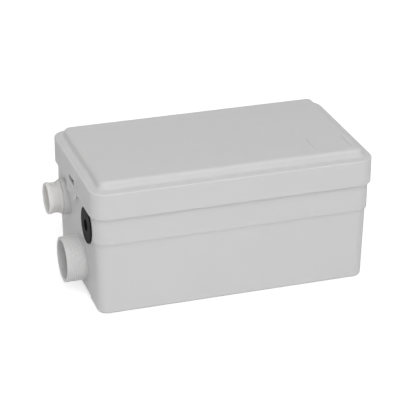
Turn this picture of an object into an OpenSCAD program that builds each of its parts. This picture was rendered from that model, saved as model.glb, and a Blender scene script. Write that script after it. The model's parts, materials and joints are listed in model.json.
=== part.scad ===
// Compact waste water lifting pump in a low moulded tank with a snap-on lid
// Millimetres. X runs along the casing with both pipe ports at the -X end, Y runs to the back, Z is up.
// The origin lies on the floor under the middle of the whole outline, ports included.

/* [Casing] */
// length over the lid skirt
casing_length = 302; // [300:1:316]
// depth over the lid skirt
casing_depth = 172; // [170:1:182]
// height from the floor to the lid top
casing_height = 146; // [145:1:154]
// plan radius of the lid skirt corners
corner_radius = 17; // [16.5:0.5:19]
// tank wall thickness
tank_wall = 3; // [2.6:0.1:3.2]
// lid wall thickness
lid_wall = 2.2; // [1.9:0.1:2.4]

/* [Lid] */
// height of the skirt below the ledge
skirt_depth = 28.8; // [27:0.2:30]
// rise of the raised panel above the ledge
panel_rise = 7.7; // [6:0.1:8.5]
// inset of the panel top from the skirt faces
panel_inset = 11.6; // [11:0.1:12.5]
// inset of the panel foot from the skirt faces
panel_foot = 9.1; // [8:0.1:10]
// width of each latch tongue
latch_width = 35.4; // [32:0.2:37]
// width of the window in each latch tongue
window_width = 23; // [18:0.5:24]
// height of the window in each latch tongue
window_height = 5.8; // [5:0.1:6.4]
// length of the two narrow slots in the lid top
slot_length = 28.2; // [20:0.2:32]
// distance between the two slots in the lid top
slot_spread = 38.5; // [30:0.5:42]

/* [Tank] */
// height of the thicker band below the skirt
band_height = 29.1; // [27:0.1:32]
// inset of the band from the skirt faces
band_inset = 3; // [2.9:0.1:3.4]
// inset of the tank wall just under the band
tank_inset = 4.6; // [4:0.1:5]
// inset of the tank wall at the floor
base_inset = 6.4; // [5.6:0.1:7]
// fillet round the foot of the tank
base_fillet = 4; // [3:0.5:4.5]
// width of the open channel between the two floor skids
channel_width = 88; // [84:1:92]
// height of the open channel between the two floor skids
channel_height = 6; // [5:0.2:6.4]

/* [Pipe ports] */
// outside diameter of the threaded inlet stub
inlet_diameter = 47.8; // [46:0.1:48.4]
// bore of the inlet stub
inlet_bore = 41; // [38:0.5:42]
// reach of the inlet stub past the skirt face
inlet_reach = 15.8; // [12:0.2:17.6]
// reach of the discharge spigot past the skirt face
outlet_reach = 18.4; // [17:0.2:22]
// outside diameter of the discharge spigot
outlet_diameter = 32.4; // [31.6:0.1:32.8]
// diameter of the bead at the spigot end
bead_diameter = 34.2; // [33.6:0.1:35]
// diameter of the rubber cable grommet
grommet_diameter = 38.7; // [36:0.1:41]
// cable hole in the grommet
grommet_hole = 12.6; // [10:0.2:14]

/* [Pump and motor] */
// outside diameter of the motor can
motor_diameter = 100; // [98:0.5:101]
// motor shaft diameter
shaft_diameter = 10; // [9:0.2:10.4]
// impeller diameter
impeller_diameter = 60; // [54:1:61]
// number of impeller vanes
vane_count = 6; // [4:1:8]
// bore of the inner discharge hose tails
tail_bore = 17; // [15:0.5:17.4]

/* [Level switch] */
// outside diameter of the air bell
bell_diameter = 40; // [36:0.5:41]
// stroke of the switch plunger
plunger_stroke = 2.5; // [1.5:0.1:2.6]

/* [Hidden] */
$fn = 64;
eps = 0.5;
// clearances
seat_gap = 0.03;
run_gap = 0.05;
swing_gap = 0.4;
catch_gap = 0.3;

// casing
half_l = casing_length / 2;
half_w = casing_depth / 2;
corner_x = half_l - corner_radius;
corner_y = half_w - corner_radius;
ledge_z = casing_height - panel_rise;
skirt_z = ledge_z - skirt_depth;
band_z = skirt_z - band_height;
gasket_h = 2.4;
rim_z = ledge_z - lid_wall - gasket_h;
r_band = corner_radius - band_inset;
r_tank = corner_radius - tank_inset;
r_base = corner_radius - base_inset;
r_foot = r_base + (r_tank - r_base) * base_fillet / band_z;
ledge_fall = 1;
skirt_fillet = 1.2;
panel_fillet = 4.6;
foot_fillet = 2.6;
latch_top_z = skirt_z + 14.5;
latch_drop = 7.4;
latch_flare = 1.6;
casing_x = (outlet_reach - latch_flare) / 2;
latch_slit = 2.4;
latch_slit_h = 4;
latch_corner = 5;
window_z = skirt_z + 6.2;
catch_h = window_height * 0.62;
catch_w = 5;
catch_side = 1;
relief_side = 1.5;
relief_rise = 5.4;
relief_depth = 1.6;
flare_slope = latch_flare / (latch_top_z - skirt_z + latch_drop);
catch_reach = band_inset - lid_wall + flare_slope * (latch_top_z - window_z) - catch_gap;
slot_x = 93.2;
slot_y = -63.6;
slot_w = 1;
slot_depth = 1;
slot_eye_r = 1;
rib_t = 1.8;
rib_h = 5;
filter_x = -80;
filter_r = 23;
filter_h = 9;
filter_wall = 2;
cap_t = 2.5;
cap_slots = 5;

// floor and tank inside
skid_floor = tank_wall;
floor_z = channel_height + tank_wall;
floor_half = channel_width / 2 + tank_wall;

// inlet, axis along X
inlet_y = -15.2;
inlet_z = 36.5;
inlet_r = inlet_diameter / 2;
inlet_bore_r = inlet_bore / 2;
inlet_end_x = -half_l - inlet_reach;
inlet_nut_gap = 0.3;
inlet_neck_x = -half_l + band_inset - inlet_nut_gap;
inlet_neck_drop = 0.6;
inlet_neck_r = inlet_r - inlet_neck_drop;
inlet_depth = 14;
inlet_face_x = -half_l + inlet_depth;
inlet_collar_r = 26.5;
inlet_ring_t = 3.5;
inlet_seat_x = inlet_face_x + inlet_ring_t;
flap_t = 2.5;
inlet_flap_r = inlet_bore_r + 2.5;
inlet_pin_rise = 28;
inlet_pin_z = inlet_z + inlet_pin_rise;
inlet_pin_x = inlet_seat_x + 2.9;
inlet_pin_r = 1.5;
inlet_pin_half = 12.5;
inlet_barrel_r = 2.4;
inlet_barrel_half = 8.5;
inlet_lug_in = inlet_barrel_half + 0.5;
inlet_lug_out = 12;
strap_w = 14;
strap_lap = 6;
lug_lap = 8;
lug_over = 3;

// discharge, axis along X
outlet_y = 40.6;
outlet_z = 81.8;
outlet_r = outlet_diameter / 2;
bead_r = bead_diameter / 2;
outlet_wall = 2.2;
outlet_bore_r = outlet_r - outlet_wall;
shank_r = outlet_r - 0.3;
boss_r = 18.8;
boss_bore_r = shank_r + 0.4;
boss_reach = 2.5;
boss_end_x = -half_l - boss_reach;
boss_in_x = -half_l + 10;
shank_end_x = -half_l + 18;
outlet_end_x = -half_l - outlet_reach;
flare_r = 18.2;
flare_t = 1.6;
flare_run = 3.4;
bead_run = 2;
bead_land = 2;
lip_r = (bead_r - outlet_bore_r) / 2;
groove_x = -half_l + 4;
groove_w = 2.6;
ring_r = 1;
ring_mid_r = boss_bore_r - ring_r - seat_gap;

// check valve behind the discharge wall
valve_socket = 10;
valve_chamber = 24;
valve_seat_t = 3;
valve_r = 22.5;
valve_in_r = 19.5;
valve_socket_r = 20.5;
valve_start_x = boss_in_x + seat_gap;
valve_seat_x = boss_in_x + valve_socket + valve_chamber;
tail_len = 15;
tail_bore_r = tail_bore / 2;
tail_r = tail_bore_r + 3;
valve_tail_x = valve_seat_x + valve_seat_t + tail_len;
valve_flap_r = 13.4;
valve_pin_z = outlet_z + 16;
valve_pin_x = valve_seat_x - 2.9;
valve_pin_r = 1;
valve_pin_half = 13;
valve_barrel_r = 2.1;
valve_barrel_half = 5.5;
valve_strap_w = 8;
valve_strap_lap = 4;

// pump, axis along Z
pump_mid_z = 30;
bend_r = (outlet_z - pump_mid_z) / 2;
hose_r = tail_r + 3.2;
hose_bore_r = tail_r + seat_gap;
hose_top_x = valve_tail_x + 1;
hose_low_x = hose_top_x + 2 * bend_r;
clamp_t = 0.9;
clamp_w = 8;
worm_l = 10;
flange_r = motor_diameter / 2 + 4;
pump_tail_x = hose_low_x + 1;
hose_side_y = outlet_y - hose_r - clamp_t - 1;
pump_x = pump_tail_x + tail_len + 1 + sqrt(flange_r * flange_r - hose_side_y * hose_side_y);
volute_base_t = 3;
chamber_lo = pump_mid_z - tail_bore_r;
chamber_hi = pump_mid_z + tail_bore_r;
volute_lo = chamber_lo - volute_base_t;
volute_hi = chamber_hi + 3.5;
spiral_step = tail_bore_r / 2;
spiral_r = outlet_y - 1.5 * spiral_step;
volute_wall = 3.6;
flange_t = 4;
plug_r = impeller_diameter / 2 + 2;
eye_r = 13.5;
lug_r = 7;
lug_ring = 63;
lug_angles = [34, 165, 234, 306];
lug_t = 4;
lug_z = 20;
damper_h = 7;
damper_r = 6.5;
damper_waist = 5.2;
pilot_r = 2.1;
strainer_lo = floor_z + 2;
strainer_r = 23;
strainer_in_r = 18.5;
strainer_slots = 12;
strainer_slot_w = 3;

// motor, axis along Z
bracket_t = 8;
bracket_top = volute_hi + bracket_t;
boss_top = bracket_top + 8;
bearing_r = 15;
bearing_h = 9;
race_part = 0.28;
shield_dip = 0.8;
bearing_boss_r = 19;
shaft_r = shaft_diameter / 2;
can_wall = 1.5;
can_r = motor_diameter / 2;
can_in_r = can_r - can_wall;
can_top = 125;
can_edge = 4;
can_flange_t = 2;
register_h = 3;
seal_r = 11;
seal_face_z = volute_hi + 0.5;
seal_top_z = bracket_top - 3;
stator_lo = boss_top + 10;
stator_room = 20;
stator_h = can_top - stator_room - stator_lo;
stator_hi = stator_lo + stator_h;
stator_bore_r = 25;
air_gap = 0.5;
slot_count = 12;
slot_ring = 34;
slot_r = 4.6;
coil_in_r = 28;
coil_out_r = 42;
coil_h = 7;
coil_edge = 2.5;
upper_lo = can_top - 14;
upper_hi = upper_lo + bearing_h;
spider_t = 3;
spider_z = upper_lo + 4;
rotor_r = stator_bore_r - air_gap;
rotor_over = 1;
end_ring_in = 14;
end_ring_out = rotor_r - 2;
end_ring_h = 3.5;
shaft_lo = strainer_lo + 1;
shaft_hi = upper_hi;
disc_t = 2.5;
disc_hi = chamber_hi - 1;
vane_lo = chamber_lo + 3;
hub_r = shaft_r + 2.5;
vane_t = 2.4;
vane_arc_r = impeller_diameter / 2 * 0.72;
cutter_z = strainer_lo + 2.6;
cutter_t = 3;
cutter_r = 15;
cutter_w = 6;
cutter_tip = 2;

// level switch, axis along Z
switch_r = 29;
bell_x = pump_x + flange_r + switch_r;
bell_y = 26;
bell_r = bell_diameter / 2;
bell_wall = 2.5;
bell_lo = floor_z + 5;
bell_hi = 84;
switch_flange = 3;
base_z = bell_hi + switch_flange;
base_h = 6;
cavity_r = 24;
port_r = 4;
skin_z = base_z + base_h;
skin_t = 1.2;
skin_mid_r = 13;
skin_mid_t = 2;
cap_z = skin_z + skin_t;
cap_roof = 3;
cap_room = 4.5;
stem_r = 3;
stem_tip_r = 0.8;
stem_tip_h = 1.6;
plate_r = 15;
plate_t = 2;
cap_top_z = cap_z + plate_t + plunger_stroke + cap_room + cap_roof;
stem_top_z = cap_top_z + 6;
plate_z = skin_z + skin_mid_t + run_gap;
guide_r = 6;
guide_h = 2;
micro_z = stem_top_z + plunger_stroke + 2.5;
micro_h = 10;
micro_w = 6.4;
micro_x0 = -7;
micro_x1 = 14;
lever_x = 11;
lever_t = 0.8;
lever_w = 4;
lever_len = 12.5;
lever_gap = 0.3;
lever_pin_r = 0.6;
lever_z = micro_z - 1.6;
lever_barrel_r = 1.1;
lever_tilt = atan2(lever_z - stem_top_z - lever_gap - lever_t / 2, lever_x);
lever_lug_w = 0.9;
post_t = 3;
bell_foot_r = 3.4;
bell_lug_x = bell_r + 7;
bell_lug_r = 5.5;
bell_lug_h = 4;
bell_web = 5;
bell_web_h = 12;

// control box
box_l = 54;
box_gap = 3.2;
box_x0 = half_l - tank_inset - tank_wall - box_gap - box_l;
box_side = 1;
box_y1 = bell_y - switch_r - box_side;
box_w = 66;
box_y0 = box_y1 - box_w;
box_z = 72;
box_h = 46;
box_wall = 2.5;
box_edge = 5;
box_lip = 3.4;
cover_t = 3;
cover_over = 1;
post_r = 4.5;
post_root_r = 6;
post_in = 8;
board_t = 1.6;
board_gap = 2;
board_z = box_z + box_wall + 4;
standoff_r = 3;
can_cap_r = 14;
can_cap_l = 42;
crimp = 1;
block_l = 36;
block_w = 12;
block_h = 14;
block_ways = 4;
block_shift = 4;
block_step = 9;
well_r = 2.4;
well_h = 4;
relay = [20, 11, 17];
relay_x = 2;
relay_y = 32;

// leads
gland_angle = -68;
gland_z = can_top - 18;
gland_r = 6.5;
gland_reach = 10;
lead_gap = 0.3;
lead_r = 3;
lead_sides = 10;
lead_steps = 18;
lead_grip = 3;
lead_below = 15;
lead_out = 19;
lead_in = 30;
wire_out = 16;
wire_in = 14;
wire_r = 1.6;

// grommet, axis along X
grommet_r = grommet_diameter / 2;
grommet_in = 36.5;
grommet_y = -half_w + grommet_in;
grommet_z = skirt_z - grommet_r - 0.45;
grommet_t = 1.9;
grommet_edge = 0.5;
grommet_neck_r = 14;
grommet_in_r = 17;
grommet_in_t = 2.5;
pad_in_x = -half_l + band_inset + tank_wall + 2;
pad_r = grommet_r + 0.6;
pad_dip = 0.4;
pad_face_x = -half_l + band_inset + pad_dip;

// moves from the middle of the casing to the middle of the outline
module at_casing() {
    translate([casing_x, 0, 0])
        children();
}

// turns local Z to -X, the way out of the ports
module outward(x, y, z) {
    translate([casing_x + x, y, z])
        rotate([0, -90, 0])
            children();
}

// turns local Z to +X
module inward(x, y, z) {
    translate([casing_x + x, y, z])
        rotate([0, 90, 0])
            children();
}

module at_pump(z = 0) {
    translate([casing_x + pump_x, 0, z])
        children();
}

module at_bell(z = 0) {
    translate([casing_x + bell_x, bell_y, z])
        children();
}

module ring2d(outer, inner) {
    difference() {
        circle(outer);
        circle(inner);
    }
}

module pipe(outer, inner, h) {
    linear_extrude(h)
        ring2d(outer, inner);
}

module rounded(l, w, r) {
    translate([r, 0])
        square([l - 2 * r, w]);
    translate([0, r])
        square([l, w - 2 * r]);
    for (x = [r, l - r], y = [r, w - r])
        translate([x, y])
            circle(r);
}

// sweeps a wall profile round the plan outline, with X measured out from the corner centres
module swept() {
    for (sx = [-1, 1], sy = [-1, 1])
        translate([sx * corner_x, sy * corner_y, 0])
            rotate([0, 0, sx > 0 ? (sy > 0 ? 0 : 270) : (sy > 0 ? 90 : 180)])
                rotate_extrude(angle = 90)
                    children();
    for (turn = [0, 180])
        rotate([0, 0, turn]) {
            translate([corner_x, corner_y, 0])
                rotate([90, 0, 0])
                    linear_extrude(2 * corner_y)
                        children();
            translate([-corner_x, corner_y, 0])
                rotate([90, 0, 90])
                    linear_extrude(2 * corner_x)
                        children();
        }
}

module core(z, h) {
    translate([-corner_x, -corner_y, z])
        cube([2 * corner_x, 2 * corner_y, h]);
}

// tank

module tank_profile() {
    difference() {
        union() {
            polygon([
                [0, 0], [r_foot - base_fillet, 0], [r_foot, base_fillet],
                [r_tank, band_z], [r_band, band_z], [r_band, rim_z], [0, rim_z]
            ]);
            translate([r_foot - base_fillet, base_fillet])
                circle(base_fillet);
        }
        polygon([
            [-eps, tank_wall], [r_foot - base_fillet, tank_wall],
            [r_foot - tank_wall, base_fillet + tank_wall],
            [r_tank - tank_wall, band_z - tank_wall],
            [r_band - tank_wall, band_z], [r_band - tank_wall, rim_z + eps], [-eps, rim_z + eps]
        ]);
    }
}

// floor lifted over the channel, stopped inside the rounded foot at both ends
module raised_floor() {
    low = corner_x + r_base - base_fillet;
    high = low + base_fillet * cos(30) - seat_gap;
    translate([-low, -floor_half, 0])
        cube([2 * low, 2 * floor_half, floor_z]);
    translate([-high, -floor_half, base_fillet / 2])
        cube([2 * high, 2 * floor_half, floor_z - base_fillet / 2]);
}

// two hooks at the ends of the window
module latch_catch() {
    for (s = [-1, 1])
        translate([-half_l + band_inset, s * (window_width / 2 - catch_side - catch_w / 2), window_z])
            rotate([90, 0, 0])
                linear_extrude(catch_w, center = true)
                    polygon([[eps, 0], [-catch_reach, 0], [-catch_reach, 1], [0, catch_h], [eps, catch_h]]);
}

// finger relief behind a latch tongue
module latch_relief() {
    relief_w = latch_width - 2 * relief_side;
    relief_z = skirt_z - latch_drop + relief_side;
    translate([-half_l + band_inset - eps, -relief_w / 2, relief_z])
        cube([relief_depth + eps, relief_w, skirt_z + relief_rise - relief_z]);
}

module box_posts() {
    for (px = [box_x0 + post_in, box_x0 + box_l - post_in], py = [box_y0 + post_in, box_y1 - post_in])
        translate([px, py, skid_floor / 2])
            cylinder(r1 = post_root_r, r2 = post_r, h = box_z - skid_floor / 2);
}

module pump_bosses() {
    for (a = lug_angles)
        translate([pump_x + lug_ring * cos(a), lug_ring * sin(a), skid_floor / 2])
            cylinder(r = lug_r, h = lug_z - damper_h - skid_floor / 2);
}

module tank() {
    color("Gainsboro")
        difference() {
            union() {
                at_casing() {
                    swept()
                        tank_profile();
                    core(0, tank_wall);
                    raised_floor();
                    for (turn = [0, 180])
                        rotate([0, 0, turn])
                            latch_catch();
                    box_posts();
                    pump_bosses();
                }
                outward(inlet_face_x, inlet_y, inlet_z) {
                    cylinder(r = inlet_neck_r, h = inlet_face_x - inlet_end_x);
                    cylinder(r = inlet_collar_r, h = inlet_depth - base_inset - seat_gap);
                }
                outward(inlet_neck_x, inlet_y, inlet_z)
                    cylinder(r = inlet_r, h = inlet_neck_x - inlet_end_x);
                outward(boss_in_x, outlet_y, outlet_z)
                    cylinder(r = boss_r, h = boss_in_x - boss_end_x);
                outward(pad_in_x, grommet_y, grommet_z)
                    cylinder(r = pad_r, h = pad_in_x + half_l - band_inset);
            }
            at_casing() {
                translate([-casing_length, -channel_width / 2, -eps])
                    cube([2 * casing_length, channel_width, channel_height + eps]);
                for (turn = [0, 180])
                    rotate([0, 0, turn])
                        latch_relief();
            }
            outward(inlet_face_x + eps, inlet_y, inlet_z)
                cylinder(r = inlet_bore_r, h = inlet_face_x - inlet_end_x + 2 * eps);
            outward(boss_in_x + eps, outlet_y, outlet_z)
                cylinder(r = boss_bore_r, h = boss_in_x - boss_end_x + 2 * eps);
            outward(pad_in_x + eps, grommet_y, grommet_z)
                cylinder(r = grommet_neck_r + seat_gap, h = pad_in_x + half_l + eps);
            outward(pad_face_x, grommet_y, grommet_z)
                cylinder(r = grommet_r + catch_gap, h = band_inset);
        }
}

// lid

// skirt, ledge that falls outward and raised panel, with rounded corners
module lid_profile() {
    r_foot_panel = corner_radius - panel_foot;
    r_panel = corner_radius - panel_inset;
    slope = atan2(panel_rise, panel_inset - panel_foot);
    fall = atan2(ledge_fall, panel_foot);
    edge_z = ledge_z - ledge_fall;
    edge = skirt_fillet * tan(45 - fall / 2);
    run = foot_fillet * tan((slope - fall) / 2);
    cut = panel_fillet * tan(slope / 2);
    difference() {
        union() {
            difference() {
                polygon([
                    [0, skirt_z], [corner_radius, skirt_z], [corner_radius, edge_z - edge],
                    [corner_radius - edge * cos(fall), edge_z + edge * sin(fall)],
                    [r_foot_panel + run * cos(fall), ledge_z - run * sin(fall)],
                    [r_foot_panel - run * cos(slope), ledge_z + run * sin(slope)],
                    [r_panel + cut * cos(slope), casing_height - cut * sin(slope)],
                    [r_panel - cut, casing_height], [0, casing_height]
                ]);
                translate([r_foot_panel + run * cos(fall), ledge_z - run * sin(fall)])
                    rotate(-fall)
                        translate([0, foot_fillet])
                            circle(foot_fillet);
            }
            translate([corner_radius - skirt_fillet, edge_z - edge])
                circle(skirt_fillet);
            translate([r_panel - cut, casing_height - panel_fillet])
                intersection() {
                    circle(panel_fillet);
                    square(panel_fillet);
                }
        }
        polygon([
            [-eps, skirt_z - eps], [corner_radius - lid_wall, skirt_z - eps],
            [corner_radius - lid_wall, ledge_z - lid_wall], [r_foot_panel - lid_wall, ledge_z - lid_wall],
            [r_panel - lid_wall, casing_height - lid_wall], [-eps, casing_height - lid_wall]
        ]);
    }
}

// flared tongue at the -X end, with rounded lower corners
module latch_tongue() {
    foot_z = skirt_z - latch_drop;
    intersection() {
        translate([-half_l, 0, 0])
            rotate([90, 0, 0])
                linear_extrude(latch_width, center = true)
                    polygon([
                        [0, latch_top_z], [-latch_flare, foot_z],
                        [lid_wall - latch_flare, foot_z], [lid_wall, latch_top_z]
                    ]);
        translate([-half_l + 2 * lid_wall, 0, 0])
            rotate([0, -90, 0])
                linear_extrude(4 * lid_wall)
                    union() {
                        translate([foot_z + latch_corner, -latch_width / 2])
                            square([latch_top_z - foot_z, latch_width]);
                        translate([foot_z, -latch_width / 2 + latch_corner])
                            square([latch_corner * 2, latch_width - 2 * latch_corner]);
                        for (s = [-1, 1])
                            translate([foot_z + latch_corner, s * (latch_width / 2 - latch_corner)])
                                circle(latch_corner);
                    }
    }
}

// two slots along Y with round ends, the second with a round eye at its front end
module lid_slots() {
    for (x = [0, slot_spread])
        translate([x, 0]) {
            translate([-slot_w / 2, 0])
                square([slot_w, slot_length]);
            for (y = [0, slot_length])
                translate([0, y])
                    circle(slot_w / 2);
        }
    translate([slot_spread, 0])
        circle(slot_eye_r);
}

module lid() {
    color("LightGray")
        at_casing()
            difference() {
                union() {
                    difference() {
                        union() {
                            swept()
                                lid_profile();
                            core(casing_height - lid_wall, lid_wall);
                        }
                        for (turn = [0, 180])
                            rotate([0, 0, turn]) {
                                translate([-half_l - eps, -latch_width / 2, skirt_z - eps])
                                    cube([lid_wall + 2 * eps, latch_width, latch_top_z - skirt_z + eps]);
                                for (y = [-latch_width / 2 - latch_slit, latch_width / 2])
                                    translate([-half_l - eps, y, skirt_z - eps])
                                        cube([lid_wall + 2 * eps, latch_slit, latch_slit_h + eps]);
                            }
                    }
                    for (turn = [0, 180])
                        rotate([0, 0, turn])
                            latch_tongue();
                    for (s = [-1, 1])
                        translate([s * half_l / 3 - rib_t / 2, -corner_y, casing_height - lid_wall - rib_h])
                            cube([rib_t, 2 * corner_y, rib_h + lid_wall / 2]);
                    translate([filter_x, 0, casing_height - lid_wall - filter_h - cap_t])
                        pipe(filter_r + filter_wall, filter_r, filter_h + cap_t + lid_wall / 2);
                }
                for (turn = [0, 180])
                    rotate([0, 0, turn])
                        translate([-half_l - 2 * lid_wall, -window_width / 2, window_z])
                            cube([4 * lid_wall, window_width, window_height]);
                translate([slot_x, slot_y, casing_height - slot_depth])
                    linear_extrude(slot_depth + eps)
                        lid_slots();
            }
}

module lid_gasket() {
    lip = 1.2;
    lip_h = 6;
    color("DimGray")
        at_casing()
            swept()
                union() {
                    translate([r_band - tank_wall - lip, rim_z])
                        square([tank_wall + lip, gasket_h]);
                    translate([r_band - tank_wall - lip, rim_z - lip_h])
                        square([lip - seat_gap, lip_h]);
                }
}

module carbon_filter() {
    color("Black")
        translate([casing_x + filter_x, 0, casing_height - lid_wall - filter_h])
            cylinder(r = filter_r - seat_gap, h = filter_h);
}

module filter_cap() {
    color("Gray")
        translate([casing_x + filter_x, 0, casing_height - lid_wall - filter_h - cap_t])
            difference() {
                cylinder(r = filter_r - seat_gap, h = cap_t);
                for (i = [0 : cap_slots - 1])
                    translate([-filter_r * 0.6, (i - (cap_slots - 1) / 2) * 6 - 1.5, -eps])
                        cube([filter_r * 1.2, 3, cap_t + 2 * eps]);
            }
}

// discharge

module discharge_spigot() {
    s_boss = shank_end_x - boss_end_x;
    s_lip = shank_end_x - outlet_end_x - lip_r;
    s_groove = shank_end_x - groove_x;
    s_flare = s_boss + flare_t;
    flare_mid_r = outlet_r + (flare_r - outlet_r) * 0.35;
    groove_r = ring_mid_r - ring_r - seat_gap;
    color("Ivory")
        outward(shank_end_x, outlet_y, outlet_z)
            rotate_extrude()
                union() {
                    polygon([
                        [outlet_bore_r, 0], [shank_r, 0], [shank_r, s_groove - groove_w / 2],
                        [groove_r, s_groove - groove_w / 2], [groove_r, s_groove + groove_w / 2],
                        [shank_r, s_groove + groove_w / 2], [shank_r, s_boss], [flare_r, s_boss],
                        [flare_r, s_flare], [flare_mid_r, s_flare + flare_run * 0.45],
                        [outlet_r, s_flare + flare_run], [outlet_r, s_lip - bead_land - bead_run],
                        [bead_r, s_lip - bead_land], [bead_r, s_lip], [outlet_bore_r, s_lip]
                    ]);
                    translate([outlet_bore_r + lip_r, s_lip])
                        circle(lip_r);
                }
}

module spigot_seal() {
    color("Black")
        outward(groove_x, outlet_y, outlet_z)
            rotate_extrude()
                translate([ring_mid_r, 0])
                    circle(ring_r);
}

module valve_housing() {
    s_seat = valve_seat_x - valve_start_x;
    s_step = valve_socket - seat_gap;
    s_back = s_seat + valve_seat_t;
    color("Silver")
        difference() {
            inward(valve_start_x, outlet_y, outlet_z)
                rotate_extrude()
                    polygon([
                        [shank_r + seat_gap, 0], [valve_socket_r, 0], [valve_socket_r, s_step - 2],
                        [valve_r, s_step], [valve_r, s_back], [tail_r, s_back], [tail_r, s_back + tail_len],
                        [tail_bore_r, s_back + tail_len], [tail_bore_r, s_seat], [valve_in_r, s_seat],
                        [valve_in_r, s_step + 1], [shank_r + seat_gap, s_step + 1]
                    ]);
            translate([casing_x + valve_pin_x, outlet_y, valve_pin_z])
                rotate([90, 0, 0])
                    cylinder(r = valve_pin_r + seat_gap, h = 2 * valve_pin_half, center = true);
        }
}

module valve_flap() {
    color("DarkSlateGray")
        difference() {
            union() {
                outward(valve_seat_x - run_gap, outlet_y, outlet_z)
                    cylinder(r = valve_flap_r, h = flap_t);
                translate([
                    casing_x + valve_seat_x - run_gap - flap_t,
                    outlet_y - valve_strap_w / 2,
                    outlet_z + valve_flap_r - valve_strap_lap
                ])
                    cube([flap_t, valve_strap_w, valve_pin_z - outlet_z - valve_flap_r + valve_strap_lap]);
                translate([casing_x + valve_pin_x, outlet_y, valve_pin_z])
                    rotate([90, 0, 0])
                        cylinder(r = valve_barrel_r, h = 2 * valve_barrel_half, center = true);
            }
            translate([casing_x + valve_pin_x, outlet_y, valve_pin_z])
                rotate([90, 0, 0])
                    cylinder(r = valve_pin_r + run_gap, h = 4 * valve_barrel_half, center = true);
        }
}

module valve_pin() {
    color("Silver")
        translate([casing_x + valve_pin_x, outlet_y, valve_pin_z])
            rotate([90, 0, 0])
                cylinder(r = valve_pin_r, h = 2 * valve_pin_half - 2 * seat_gap, center = true);
}

// S-shaped moulded hose in the plane of both tails
module discharge_hose() {
    color("DimGray") {
        outward(hose_top_x, outlet_y, outlet_z)
            pipe(hose_r, hose_bore_r, tail_len);
        translate([casing_x + hose_top_x, outlet_y, outlet_z - bend_r])
            rotate([90, 0, 0])
                rotate_extrude(angle = 90)
                    translate([bend_r, 0])
                        ring2d(hose_r, hose_bore_r);
        translate([casing_x + hose_low_x, outlet_y, pump_mid_z + bend_r])
            rotate([90, 0, 0])
                rotate([0, 0, 180])
                    rotate_extrude(angle = 90)
                        translate([bend_r, 0])
                            ring2d(hose_r, hose_bore_r);
        inward(hose_low_x, outlet_y, pump_mid_z)
            pipe(hose_r, hose_bore_r, tail_len);
    }
}

module hose_clamp() {
    pipe(hose_r + seat_gap + clamp_t, hose_r + seat_gap, clamp_w);
    translate([hose_r + clamp_t / 2, -worm_l / 2, 0])
        cube([worm_l / 2, worm_l, clamp_w]);
}

module hose_clamp_upper() {
    color("Silver")
        outward(hose_top_x - (tail_len - clamp_w) / 2, outlet_y, outlet_z)
            hose_clamp();
}

module hose_clamp_lower() {
    color("Silver")
        inward(hose_low_x + (tail_len - clamp_w) / 2, outlet_y, pump_mid_z)
            rotate([0, 0, 180])
                hose_clamp();
}

// cable entry

module cable_grommet() {
    hole_r = grommet_hole / 2;
    s_wall = pad_in_x - pad_face_x + seat_gap;
    s_face = s_wall + grommet_t;
    color("Black")
        outward(pad_in_x, grommet_y, grommet_z)
            rotate_extrude()
                polygon([
                    [hole_r, -seat_gap - grommet_in_t], [grommet_in_r, -seat_gap - grommet_in_t],
                    [grommet_in_r, -seat_gap], [grommet_neck_r, -seat_gap], [grommet_neck_r, s_wall],
                    [grommet_r, s_wall], [grommet_r, s_face - grommet_edge],
                    [grommet_r - grommet_edge, s_face], [hole_r, s_face]
                ]);
}

// inlet flap valve

module inlet_seat_ring() {
    plate_lo = inlet_z + inlet_collar_r - lug_lap;
    lug_x = casing_x + inlet_face_x + inlet_ring_t / 2;
    color("Silver")
        difference() {
            union() {
                inward(inlet_face_x + seat_gap, inlet_y, inlet_z)
                    cylinder(r = inlet_collar_r, h = inlet_ring_t - seat_gap);
                translate([casing_x + inlet_face_x + seat_gap, inlet_y - inlet_lug_out, plate_lo])
                    cube([inlet_ring_t - seat_gap, 2 * inlet_lug_out, inlet_pin_z + lug_over - plate_lo]);
                for (y = [-inlet_lug_out, inlet_lug_in])
                    translate([lug_x, inlet_y + y, inlet_pin_z - lug_over])
                        cube([inlet_ring_t / 2 + 2 * lug_over, inlet_lug_out - inlet_lug_in, 2 * lug_over]);
            }
            inward(inlet_face_x - eps, inlet_y, inlet_z)
                cylinder(r = inlet_bore_r, h = inlet_ring_t + 2 * eps);
            translate([casing_x + inlet_pin_x, inlet_y, inlet_pin_z])
                rotate([90, 0, 0])
                    cylinder(r = inlet_pin_r + seat_gap, h = 4 * inlet_lug_out, center = true);
        }
}

module inlet_flap() {
    color("DarkSlateGray")
        difference() {
            union() {
                inward(inlet_seat_x + run_gap, inlet_y, inlet_z)
                    cylinder(r = inlet_flap_r, h = flap_t);
                translate([
                    casing_x + inlet_seat_x + run_gap + swing_gap,
                    inlet_y - strap_w / 2,
                    inlet_z + inlet_flap_r - strap_lap
                ])
                    cube([flap_t - swing_gap, strap_w, inlet_pin_rise - inlet_flap_r + strap_lap]);
                translate([casing_x + inlet_pin_x, inlet_y, inlet_pin_z])
                    rotate([90, 0, 0])
                        cylinder(r = inlet_barrel_r, h = 2 * inlet_barrel_half, center = true);
            }
            translate([casing_x + inlet_pin_x, inlet_y, inlet_pin_z])
                rotate([90, 0, 0])
                    cylinder(r = inlet_pin_r + run_gap, h = 4 * inlet_barrel_half, center = true);
        }
}

module inlet_pin() {
    color("Silver")
        translate([casing_x + inlet_pin_x, inlet_y, inlet_pin_z])
            rotate([90, 0, 0])
                cylinder(r = inlet_pin_r, h = 2 * inlet_pin_half, center = true);
}

// pump

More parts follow.
